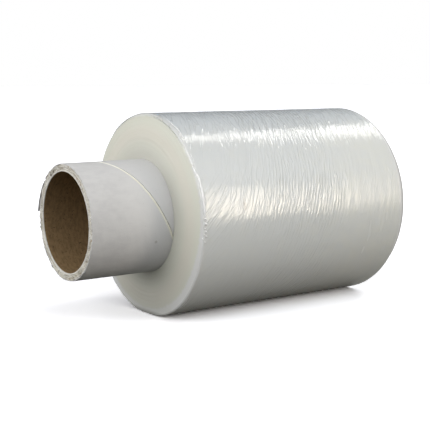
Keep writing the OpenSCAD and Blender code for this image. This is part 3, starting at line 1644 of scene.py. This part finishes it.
@dataclass
class EdgeCurls:
    """Thin rolls of film that the last turns' edge has curled into, by the near end.

    Attributes:
        size: Sizes of the roll.
        finish: The curls' finish.
        main_curl: Way into the film, in millimetres, and angle, in degrees, along the long curl.
        side_curl: The same for the thin curl beside it.
        beads: Way, angle and radius of the loose bits below them, in the same units.
        thickness: Radius of the long curl.
        side_thickness: Radius of the thin curl.
        others: Number of shorter curls around the rest of the edge.
    """

    size: RollSize
    finish: CurlFinish = field(default_factory=CurlFinish)
    main_curl: tuple = (
        (0.5, 148.0), (0.85, 151.0), (1.35, 154.0), (1.58, 160.5),
        (1.42, 168.5), (1.5, 173.0), (1.6, 175.5),
    )
    side_curl: tuple = ((2.35, 160.5), (2.4, 165.0), (2.2, 169.5), (2.05, 172.5))
    beads: tuple = (
        (1.62, 175.6, 0.46), (2.1, 176.9, 0.30), (1.74, 178.2, 0.48), (1.4, 180.6, 0.32),
        (1.9, 182.4, 0.34), (1.2, 183.6, 0.30), (1.85, 184.6, 0.42), (0.6, 185.9, 0.38),
        (1.6, 187.8, 0.30), (0.9, 146.0, 0.30),
    )
    thickness: float = 0.42 * MM
    side_thickness: float = 0.17 * MM
    others: int = 16

    def rim_radius(self, way: np.ndarray) -> np.ndarray:
        """Return the film's radius r - d exp(-way / w), over the rounded edge.

        Args:
            way: Way into the film.

        Returns:
            The radius at each place.
        """
        edge_depth = 0.88 * MM
        edge_width = 0.55 * MM
        return self.size.film_r - edge_depth * np.exp(-way / edge_width)

    def roll(
        self, way: np.ndarray, angle: np.ndarray, thick: np.ndarray
    ) -> tuple[np.ndarray, np.ndarray]:
        """Make one curl: a tube along a line on the edge, closed at both ends.

        Args:
            way: Way into the film, for each station.
            angle: Angle around the roll, for each station.
            thick: Radius of the tube, for each station.

        Returns:
            Points and faces.
        """
        sides = 8
        stand_off = 0.3
        turn = math.tau * np.arange(sides)[None, :] / sides
        outward = thick[:, None] * np.sin(turn)
        across = thick[:, None] * np.cos(turn)
        radius = self.rim_radius(way)[:, None] + outward + stand_off * thick[:, None]
        x = self.size.film_near + way[:, None] + across
        points = around_axis(x, radius, angle[:, None], self.size.axis_z).reshape(-1, 3)
        points[:, 2] = np.maximum(points[:, 2], 0.0)
        last = (len(way) - 1) * sides
        caps = np.array([(0, 1, 2, 3), (0, 3, 4, 7), (4, 5, 6, 7)])
        faces = (grid_faces(len(way), sides, False, True), caps[:, ::-1], caps + last)
        return points, np.concatenate(faces)

    def along_line(
        self, line: tuple, thick: float, stations: int
    ) -> tuple[np.ndarray, np.ndarray]:
        """Make a curl along a line of chosen places, thinner towards its ends.

        Args:
            line: Way in millimetres and angle in degrees of each place.
            thick: Radius of the curl in its middle.
            stations: Number of stations.

        Returns:
            Points and faces.
        """
        places = np.array(line, float)
        at = np.linspace(0.0, len(places) - 1.0, stations)
        way = np.interp(at, np.arange(len(places)), places[:, 0]) * MM
        angle = np.radians(np.interp(at, np.arange(len(places)), places[:, 1]))
        share = np.linspace(0.0, 1.0, stations)
        tip = 0.12
        taper = tip + (1.0 - tip) * np.sin(math.pi * share) ** 0.5
        lumps = 1.0 + 0.18 * np.sin(share * 41.0) * np.sin(share * 17.0 + 1.0)
        return self.roll(way, angle, thick * taper * lumps)

    def build(self, rng: np.random.Generator) -> None:
        """Make all the curls as one piece.

        Args:
            rng: Source of the shorter curls' places.
        """
        made = [self.along_line(self.main_curl, self.thickness, 110)]
        made.append(self.along_line(self.side_curl, self.side_thickness, 40))
        seat_radius = 39.0
        for way, angle, radius in self.beads:
            half_turn = math.degrees(1.1 * radius / seat_radius)
            line = ((way - 0.15, angle - half_turn), (way + 0.15, angle + half_turn))
            made.append(self.along_line(line, radius * MM, 7))
        for _ in range(self.others):
            start = rng.uniform(200, 500)
            length = rng.uniform(5, 22)
            way = rng.uniform(0.4, 2.4)
            shares = (0, 0.33, 0.66, 1)
            line = tuple((way + rng.uniform(-0.3, 0.3), start + length * at) for at in shares)
            made.append(self.along_line(line, rng.uniform(0.07, 0.16) * MM, 50))
        offsets = np.cumsum([0] + [len(points) for points, _ in made[:-1]])
        points = np.concatenate([points for points, _ in made])
        faces = np.concatenate([faces + offset for (_, faces), offset in zip(made, offsets)])
        piece = make_piece("film_edge_curls", points, faces)
        dress(piece, self.finish.material())


@dataclass
class PaperCore:
    """The spiral-wound core: white outer paper, cream board and brown lining.

    Attributes:
        size: Sizes of the roll.
        seam_pitch: Way along the core that the seam climbs in a turn.
        seam_start: Angle of the seam at the handle's end, in degrees.
        seam_gap: Width of the gap between the paper's edges.
        steps_around: Steps around the core.
        frayed: Spread of the rough cut's heights.
    """

    size: RollSize
    seam_pitch: float = 70 * MM
    seam_start: float = 21.0
    seam_gap: float = 1.05 * MM
    steps_around: int = 480
    frayed: float = 0.13 * MM

    def seam_angle(self, way: np.ndarray) -> np.ndarray:
        """Return the seam's angle at a way along the core."""
        return math.radians(self.seam_start) + math.tau * way / self.seam_pitch

    def seam_turn(self, width: np.ndarray | float) -> np.ndarray | float:
        """Return the angle that a width across the seam takes up at one place along the core."""
        slope = math.atan2(self.seam_pitch, math.tau * self.size.core_r)
        return width / math.cos(slope) / self.seam_pitch * math.tau

    def sheet(
        self,
        name: str,
        x: np.ndarray,
        radii: tuple[np.ndarray, np.ndarray],
        angle: np.ndarray,
        sharp_deg: float,
    ) -> bpy.types.Object:
        """Make a closed sheet between two radii, over a grid of places on the core.

        Args:
            name: Name of the piece.
            x: Place along the roll.
            radii: Its outer and its inner radius.
            angle: Angle around the roll.
            sharp_deg: Angle between faces over which their edge stays sharp.

        Returns:
            The piece.
        """
        outer, inner = (around_axis(x, radius, angle, self.size.axis_z) for radius in radii)
        points = np.concatenate((outer.reshape(-1, 3), inner.reshape(-1, 3)))
        return make_piece(name, points, sheet_faces(*outer.shape[:2]), sharp_deg=sharp_deg)

    def rough_cut(
        self, rng: np.random.Generator, rows: int, columns: int, width: float
    ) -> np.ndarray:
        """Return how far the torn fibres of a cut stand out.

        Args:
            rng: Source of the noise.
            rows: Steps across the wall.
            columns: Steps around it.
            width: Thickness of the wall.

        Returns:
            Heights over the cut, around zero.
        """
        repeat = 4
        ply_width = 0.52 * MM
        full_width = 2 * MM
        extent = (width * repeat, math.tau * self.size.core_r)
        tall = (rows * repeat, columns)
        fibres = soft_noise(rng, tall, extent, (0.35 * MM, 0.5 * MM))[:rows]
        clumps = soft_noise(rng, tall, extent, (1.2 * MM, 3 * MM))[:rows]
        across = np.linspace(0.0, 1.0, rows)[:, None]
        between = np.cos(math.tau * across * width / ply_width)
        opened = np.clip(0.5 + soft_noise(rng, tall, extent, (9 * MM, 5 * MM))[:rows], 0.0, 1.5)
        grooves = np.maximum(between, 0.0) ** 2 * opened * min(1.0, width / full_width)
        return self.frayed * (0.55 * fibres + 0.4 * clumps - 2.2 * grooves)

    def tube(
        self,
        name: str,
        inner_r: float,
        outer_r: float,
        rng: np.random.Generator,
        rows_along: int,
    ) -> bpy.types.Object:
        """Make a tube whose ends are roughly cut.

        The closed profile runs out along the near cut, along the outside, in
        along the far cut and back along the inside.

        Args:
            name: Name of the piece.
            inner_r: Inner radius.
            outer_r: Outer radius.
            rng: Source of the noise.
            rows_along: Steps along the core.

        Returns:
            The piece.
        """
        size = self.size
        cut_rows = 17
        edge_lean = 0.08 * MM
        full_width = 1.2 * MM
        columns = self.steps_around
        angle = math.tau * np.arange(columns) / columns
        cut_r = np.linspace(inner_r, outer_r, cut_rows)
        crown = 1 - (2 * np.linspace(0, 1, cut_rows) - 1) ** 4
        width = outer_r - inner_r
        calmer = min(1.0, width / full_width)
        near = self.rough_cut(rng, cut_rows, columns, width) * calmer
        far = self.rough_cut(rng, cut_rows, columns, width) * calmer
        lean = edge_lean * (1 - crown)[:, None]
        along_wall = np.linspace(0, 1, rows_along)[1:-1]
        near_x = size.core_near + lean - near
        far_x = size.core_far - lean + far
        outer_x = near_x[-1] + along_wall[:, None] * (far_x[-1] - near_x[-1])
        inner_x = far_x[0] + along_wall[:, None] * (near_x[0] - far_x[0])
        steady = np.ones((1, columns))
        x = np.concatenate((near_x, outer_x, far_x[::-1], inner_x))
        radius = np.concatenate((
            cut_r[:, None] * steady,
            np.full_like(outer_x, outer_r),
            cut_r[::-1, None] * steady,
            np.full_like(inner_x, inner_r),
        ))
        points = around_axis(x, radius, angle[None, :], size.axis_z)
        faces = grid_faces(points.shape[0], columns, True, True)
        return make_piece(name, points, faces)

    def outer_paper(self, rng: np.random.Generator) -> bpy.types.Object:
        """Make the outer strip, from one edge of the seam around to the other.

        At each place along the core, the paper covers all angles but the gap,
        which climbs with the seam. Its pointed corner lifts off the board as
        exp(-(d / s)^1.6), where d is the distance from the corner.

        Args:
            rng: Source of the noise.

        Returns:
            The piece.
        """
        size = self.size
        rows = 190
        columns = self.steps_around
        end_fade = 0.6 * MM
        lift = 0.9 * MM
        lift_size = 5 * MM
        lift_power = 1.6
        wear = 0.05 * MM
        wear_fade = 3 * MM
        waviness = 0.015 * MM
        edge_drop = 0.07 * MM
        edge_fade = 0.25 * MM
        end_drop = 0.06 * MM
        under_lift = 0.9
        gap_turn = self.seam_turn(self.seam_gap)
        share = np.linspace(0.0, 1.0, columns)[None, :]
        length = size.core_far - size.core_near
        way = np.linspace(0.0, 1.0, rows)[:, None] * length
        angle = self.seam_angle(way) + gap_turn / 2 + share * (math.tau - gap_turn)
        shape = (rows, columns)
        extent = (length, math.tau * size.core_r)
        frayed_near = self.frayed * soft_noise(rng, shape, extent, (9 * MM, 1.3 * MM))[:1]
        frayed_far = self.frayed * soft_noise(rng, shape, extent, (9 * MM, 1.3 * MM))[:1]
        close_near = np.exp(-way / end_fade)
        close_far = np.exp(-(length - way) / end_fade)
        x = size.core_near + way - frayed_near * close_near + frayed_far * close_far
        from_tip = np.hypot(way, (angle - math.radians(self.seam_start)) * size.core_r)
        lifted = lift * np.exp(-((from_tip / lift_size) ** lift_power))
        worn = wear * soft_noise(rng, shape, extent, (6 * MM, 9 * MM)) * np.exp(-way / wear_fade)
        uneven = waviness * soft_noise(rng, shape, extent, (8 * MM, 10 * MM))
        at_edge = np.minimum(share, 1 - share) * math.tau * size.core_r
        dropped = edge_drop * np.exp(-at_edge / edge_fade) + end_drop * (close_near + close_far)
        outer_r = size.core_r + lifted + worn + uneven - dropped
        inner_r = size.board_out_r + lifted * under_lift + np.maximum(worn, 0.0)
        return self.sheet("core_white_paper", x, (outer_r, inner_r), angle, 50.0)

    def seam_ridge(self, rng: np.random.Generator) -> bpy.types.Object:
        """Make the strip of board that swells up in the seam's gap.

        Its section is a low arch, and it lies against the gap's lower edge, so
        that a fine dark groove stays along the other edge.

        Args:
            rng: Source of the noise.

        Returns:
            The piece.
        """
        size = self.size
        rows = 420
        columns = 9
        margin = 0.3 * MM
        width = 0.80 * MM
        offset = 0.11 * MM
        crest = 0.03 * MM
        arch = 0.7 * MM
        waviness = 0.015 * MM
        root = 0.15 * MM
        length = size.core_far - size.core_near
        way = np.linspace(0.0, 1.0, rows)[:, None] * (length - 2 * margin) + margin
        across = np.linspace(-0.5, 0.5, columns)[None, :]
        angle = self.seam_angle(way) + self.seam_turn(across * width + offset)
        uneven = soft_noise(rng, (rows, columns), (length * 2.2, width), (3 * MM, 1 * MM))
        top = size.core_r + crest - arch * across ** 2 + waviness * uneven
        radii = (top, np.full_like(top, size.board_out_r - root))
        return self.sheet("core_seam_ridge", size.core_near + way, radii, angle, 60.0)

    def torn_flap(self, rng: np.random.Generator) -> bpy.types.Object:
        """Make the strip of paper that has come off at the near cut and hangs down.

        It leaves the core at its root, and stands off as its way to the power 1.5.

        Args:
            rng: Source of its ragged edge.

        Returns:
            The piece.
        """
        size = self.size
        rows = 30
        columns = 7
        root_deg, hang_deg = 37.0, 33.0
        stand, cup = 1.75 * MM, 0.25 * MM
        root_width, tip_loss, raggedness = 2.6 * MM, 0.6, 0.3 * MM
        overhang, drift = 0.25 * MM, 0.3 * MM
        over, under = 0.05 * MM, 0.27 * MM
        way = np.linspace(0.0, 1.0, rows)[:, None]
        across = np.linspace(0.0, 1.0, columns)[None, :]
        stand_off = stand * way ** 1.5 + cup * np.sin(math.pi * across) * way
        ragged = soft_noise(rng, (rows, columns), (11 * MM, 3 * MM), (1.5 * MM, 9 * MM))[:, :1]
        width = root_width * (1 - tip_loss * way) + raggedness * ragged
        x = size.core_near - overhang + across * width + drift * way
        radii = (size.core_r + over + stand_off, size.core_r - under + stand_off)
        angle = np.radians(root_deg - hang_deg * way)
        return self.sheet("core_paper_flap", x, radii, angle, 50.0)

    def torn_fibres(self, rng: np.random.Generator) -> bpy.types.Object:
        """Make the small slivers that stand out of the near cut, more below than above.

        Each is a four-sided bar that ends in a point: it leaves the cut along the
        axis and bends off to one side, as its way to the power 1.5.

        Args:
            rng: Source of their places and sizes.

        Returns:
            The piece.
        """
        size = self.size
        count = 210
        share_below = 0.45
        middle, spread = math.radians(262), math.radians(30)
        margin = 0.1 * MM
        smaller = 0.55
        below = rng.random(count) < share_below
        angle_below = rng.normal(middle, spread, count)
        angle = np.where(below, angle_below, rng.uniform(0, math.tau, count))
        radius = rng.uniform(size.board_in_r + margin, size.core_r - margin, count)
        reach_out = np.where(below, 1.0, smaller)
        length = rng.uniform(0.3, 1.0, count) * MM * reach_out
        thick = rng.uniform(0.08, 0.19, count) * MM * reach_out
        sideways = rng.normal(0.0, 0.4, (count, 2)) * MM
        stations = np.array([-0.4, 0.3, 0.75, 1.0])
        girth = np.array([1.0, 1.0, 0.7, 0.1])
        corner = math.tau * (np.arange(4) + 0.5) / 4
        bend = np.maximum(stations, 0.0) ** 1.5
        flatness = 0.6
        highest = size.core_r + 0.3 * MM
        x = size.core_near - (length[:, None] * stations)[:, :, None]
        half = (thick[:, None] * girth)[:, :, None]
        along_wall = sideways[:, 0, None, None] * bend[None, :, None] + half * np.cos(corner)
        across_wall = sideways[:, 1, None, None] * bend[None, :, None] + half * np.sin(corner)
        reach = np.minimum(radius[:, None, None] + flatness * across_wall, highest)
        points = around_axis(x, reach, angle[:, None, None] + along_wall / size.core_r, size.axis_z)
        one = np.concatenate((grid_faces(4, 4, False, True), [(3, 2, 1, 0), (12, 13, 14, 15)]))
        faces = (one[None] + 16 * np.arange(count)[:, None, None]).reshape(-1, 4)
        return make_piece("core_torn_fibres", points, faces)

    def marked_board(self) -> PaperFinish:
        """Return the board's finish, with brown marks on its near cut.

        Returns:
            The finish.
        """
        size = self.size
        dark = rgba(0.11, 0.08, 0.055)
        tan = rgba(0.34, 0.24, 0.15)
        marks = (
            (20.1, 57, 0.65, dark), (20.3, 64, 0.55, dark), (21.4, 100, 0.5, tan),
            (21.4, 108, 0.45, tan), (20.3, 122, 0.45, tan), (20.2, 131, 0.4, tan),
            (21.0, 191, 0.55, tan), (20.5, 217, 0.4, tan), (20.9, 236, 0.45, tan),
            (20.9, 262, 0.5, tan), (20.2, 287, 0.55, dark), (21.1, 305, 0.4, tan),
        )
        spots = []
        for radius, angle, reach, colour in marks:
            place = around_axis(size.core_near, radius * MM, math.radians(angle), size.axis_z)
            spots.append(Spot(tuple(float(part) for part in place), reach * MM, colour))
        return replace(CUT_BOARD, axis_z=size.axis_z, spots=tuple(spots))

    def build(self, rng: np.random.Generator) -> None:
        """Make the papers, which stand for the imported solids, and the small pieces.

        Args:
            rng: Source of the noise.
        """
        size = self.size
        dot_x = size.film_near - 7.8 * MM
        dot_angle = math.radians(198.4)
        dot_place = around_axis(dot_x, size.core_r, dot_angle, size.axis_z)
        dot = Spot(tuple(float(part) for part in dot_place), 0.75 * MM, rgba(0.52, 0.505, 0.49))
        # Painted light: the white paper turns paler towards the film, to make up for the shade that
        # the film's end face casts on the core.
        painted_fill_by_film = Zone(size.film_near - 27 * MM, size.film_near - 3 * MM, rgba(0.685, 0.68, 0.68))
        paper_finish = replace(WHITE_PAPER, zones=(painted_fill_by_film,), spots=(dot,))
        paper_material = paper_finish.material()
        paper = self.outer_paper(rng)
        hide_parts("core_outer_ply")
        dress(paper, paper_material)
        board = self.tube("core_cream_board", size.board_in_r, size.board_out_r, rng, 60)
        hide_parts("core_board")
        dress(board, self.marked_board().material())
        ridge = self.seam_ridge(rng)
        dress(ridge, SEAM_BOARD.material())
        fibres = self.torn_fibres(rng)
        dress(fibres, SEAM_BOARD.material())
        lining = self.tube("core_kraft_lining", size.bore_r, size.board_in_r, rng, 90)
        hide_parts("core_inner_ply")
        near_cut = Zone(size.core_near + 0.5 * MM, size.core_near + 0.25 * MM, CUT_BOARD.body)
        far_cut = Zone(size.core_far - 0.5 * MM, size.core_far - 0.25 * MM, CUT_BOARD.body)
        dress(lining, replace(KRAFT_PAPER, zones=(near_cut, far_cut)).material())
        flap = self.torn_flap(rng)
        dress(flap, paper_material)


@dataclass(frozen=True)
class Glow:
    """A broad, soft brightness in the sky.

    Attributes:
        azimuth: Where it lies, in degrees from -Y towards +X.
        height: Its middle's height over the horizon, in degrees.
        narrowness: Power of the falloff. A larger one is narrower.
        brightness: Brightness of its middle, where 1 is white.
        colour: Colour of its light.
    """

    azimuth: float
    height: float
    narrowness: float
    brightness: float
    colour: tuple

    def background(self, shader: Shader, direction: Wire) -> Wire:
        """Return the sky's brightness: the cosine from the middle, to a power.

        Args:
            shader: The world's shader.
            direction: The direction that is looked in.

        Returns:
            A background to be added to the others.
        """
        azimuth = math.radians(self.azimuth)
        height = math.radians(self.height)
        flat = math.cos(height)
        middle = (math.sin(azimuth) * flat, -math.cos(azimuth) * flat, math.sin(height))
        cosine = shader.measure("DOT_PRODUCT", direction, middle)
        level = cosine.math("MAXIMUM", 0.0) ** self.narrowness * self.brightness
        return shader.add("ShaderNodeBackground", values={"Color": self.colour, "Strength": level})


SKY_GLOWS = (
    Glow(azimuth=285, height=20, narrowness=8, brightness=2.70, colour=rgba(1.0, 0.99, 0.97)),
    Glow(azimuth=240, height=20, narrowness=8, brightness=2.10, colour=rgba(1.0, 0.99, 0.97)),
    Glow(azimuth=262, height=28, narrowness=8, brightness=0.60, colour=rgba(1.0, 1.0, 1.0)),
    Glow(azimuth=20, height=50, narrowness=8, brightness=1.26, colour=rgba(0.94, 1.0, 1.05)),
    Glow(azimuth=5, height=20, narrowness=8, brightness=1.11, colour=rgba(0.98, 1.0, 1.02)),
    Glow(azimuth=38, height=15, narrowness=8, brightness=0.64, colour=rgba(1.0, 1.0, 0.98)),
    Glow(azimuth=108, height=36, narrowness=8, brightness=0.26, colour=rgba(0.86, 0.97, 1.10)),
    Glow(azimuth=140, height=22, narrowness=8, brightness=0.12, colour=rgba(0.90, 0.97, 1.05)),
)


@dataclass(frozen=True)
class Softbox:
    """A lamp with a large, even face.

    Attributes:
        name: Name of the lamp.
        shape: Shape of its face.
        place: Its middle.
        aim: The point that it faces.
        width: Width of its face.
        height: Height of its face.
        brightness: How bright the face looks, where 1 is white.
        colour: Colour of its light.
    """

    name: str
    shape: str
    place: tuple
    aim: tuple
    width: float
    height: float
    brightness: float
    colour: tuple

    def build(self) -> None:
        """Make the lamp, whose watts are brightness times pi times the face's area."""
        lamp = bpy.data.lights.new(self.name, "AREA")
        lamp.shape = self.shape
        lamp.size = self.width
        lamp.size_y = self.height
        area = self.width * self.height
        if self.shape == "ELLIPSE":
            area *= math.pi / 4
        lamp.energy = self.brightness * math.pi * area
        lamp.color = self.colour
        holder = bpy.data.objects.new(self.name, lamp)
        holder.location = self.place
        towards = Vector(self.aim) - Vector(self.place)
        holder.rotation_euler = towards.to_track_quat("-Z", "Y").to_euler()
        holder.visible_camera = False
        bpy.context.scene.collection.objects.link(holder)


@dataclass
class Studio:
    """A pale floor, a soft sky, four softboxes and the camera.

    Attributes:
        size: Sizes of the roll.
        floor_half: Half the floor's width.
        camera_from_face: The camera's place from the middle of the film's near end face.
        camera_turn: Turn of the view about the vertical, in degrees.
        camera_dip: How far the view looks down, in degrees.
        lens_mm: Focal length for the film back's width.
        film_back_mm: Width of the film back.
    """

    size: RollSize
    floor_half: float = 6.0
    camera_from_face: tuple = (-0.19654, -0.33249, 0.05447)
    camera_turn: float = -34.632
    camera_dip: float = 8.035
    lens_mm: float = 83.53
    film_back_mm: float = 36.0

    def camera(self) -> None:
        """Make the camera, which stands where the photograph's stood."""
        camera = bpy.data.cameras.new("camera")
        camera.lens = self.lens_mm
        camera.sensor_width = self.film_back_mm
        camera.clip_start = 0.01
        holder = bpy.data.objects.new("camera", camera)
        face = Vector((self.size.film_near, 0.0, self.size.axis_z))
        place = Matrix.Translation(face + Vector(self.camera_from_face))
        turn = Matrix.Rotation(math.radians(self.camera_turn), 4, "Z")
        dip = Matrix.Rotation(math.radians(90 - self.camera_dip), 4, "X")
        holder.matrix_world = place @ turn @ dip
        bpy.context.scene.collection.objects.link(holder)
        bpy.context.scene.camera = holder

    def ray_kinds(self, shader: Shader) -> tuple[Wire, Wire]:
        """Tell the camera's own rays from those that come by a detour.

        Args:
            shader: Shader of the material or the world that the rays meet.

        Returns:
            1 for the camera's rays, and 1 for rays from gloss or through clear things.
        """
        path = shader.add("ShaderNodeLightPath", output="Is Camera Ray")
        outputs = path.socket.node.outputs
        glossy = Wire(shader, outputs["Is Glossy Ray"])
        through = Wire(shader, outputs["Is Transmission Ray"])
        return path, glossy.math("MAXIMUM", through)

    def floor(self) -> None:
        """Make the pale floor, which shows white and keeps the roll's shadow."""
        half = self.floor_half
        corners = [(-half, -half, 0.0), (half, -half, 0.0), (half, half, 0.0), (-half, half, 0.0)]
        mesh = bpy.data.meshes.new("floor")
        mesh.from_pydata(corners, [], [(0, 1, 2, 3)])
        floor = bpy.data.objects.new("floor", mesh)
        bpy.context.scene.collection.objects.link(floor)
        made = bpy.data.materials.new("pale_floor")
        shader = Shader(made)
        lit_by = rgba(0.045, 0.045, 0.04)
        mirrored_as = rgba(0.42, 0.42, 0.40)
        shown_as = rgba(1.67, 1.67, 1.73)
        camera, mirrored = self.ray_kinds(shader)
        colour = shader.mix(camera, shader.mix(mirrored, lit_by, mirrored_as), shown_as)
        shader.finish(shader.add("ShaderNodeBsdfDiffuse", values={"Color": colour}))
        mesh.materials.append(made)

    def sky(self) -> None:
        """Make the soft light from all round, with a white backdrop where it shows."""
        world = bpy.data.worlds.new("studio")
        bpy.context.scene.world = world
        shader = Shader(world)
        direction = shader.add("ShaderNodeTexCoord", output="Generated")
        _, _, up = shader.axes(direction)
        seen_border = (0.22, 0.17)
        mirrored_border = (0.12, 0.06)
        camera, mirrored = self.ray_kinds(shader)
        mirrored = mirrored * shader.rise(up, *mirrored_border)
        backdrop = (camera * shader.rise(up, *seen_border)).math("MAXIMUM", mirrored)
        sky, *others = [glow.background(shader, direction) for glow in SKY_GLOWS]
        for glow in others:
            sky = shader.add("ShaderNodeAddShader", values={0: sky, 1: glow})
        values = {"Color": rgba(1.0, 1.0, 1.0), "Strength": 1.0}
        white = shader.add("ShaderNodeBackground", values=values)
        shader.finish(shader.add("ShaderNodeMixShader", values={0: backdrop, 1: sky, 2: white}))

    def lamps(self) -> None:
        """Make the softboxes: two for each of the bright bands on the film."""
        roll = (0.0, 0.0, self.size.axis_z)
        overhead = Softbox(
            name="overhead_softbox",
            shape="ELLIPSE",
            place=(1.27, 0.18, 1.0),
            aim=(1.27, 0.18, 0.0),
            width=0.95,
            height=0.50,
            brightness=4.2,
            colour=(1.0, 0.985, 0.955),
        )
        overhead_strip = Softbox(
            name="overhead_strip",
            shape="RECTANGLE",
            place=(0.95, 0.105, 1.0),
            aim=(0.95, 0.105, 0.0),
            width=1.3,
            height=0.13,
            brightness=3.2,
            colour=(1.0, 0.965, 0.90),
        )
        low_strip = Softbox(
            name="low_strip_softbox",
            shape="RECTANGLE",
            place=(0.64, -1.04, 0.17),
            aim=roll,
            width=0.40,
            height=0.34,
            brightness=1.9,
            colour=(1.0, 0.87, 0.67),
        )
        tall_strip = Softbox(
            name="tall_strip_softbox",
            shape="RECTANGLE",
            place=(0.65, -1.05, 0.31),
            aim=roll,
            width=0.40,
            height=0.6,
            brightness=3.9,
            colour=(1.0, 0.89, 0.72),
        )
        for softbox in (overhead, overhead_strip, low_strip, tall_strip):
            softbox.build()

    def build(self) -> None:
        """Make the whole studio."""
        self.camera()
        self.floor()
        self.sky()
        self.lamps()
        bpy.context.scene.view_settings.view_transform = "Standard"


def main() -> None:
    """Build the studio, the film and the core."""
    logging.basicConfig(level=logging.INFO)
    seed = 20
    rng = np.random.default_rng(seed)
    size = measure_roll()
    log.info("sizes: %s", size)
    Studio(size).build()
    WoundFilm(size).build(rng)
    EdgeCurls(size).build(rng)
    PaperCore(size).build(rng)


if __name__ == "__main__":
    main()
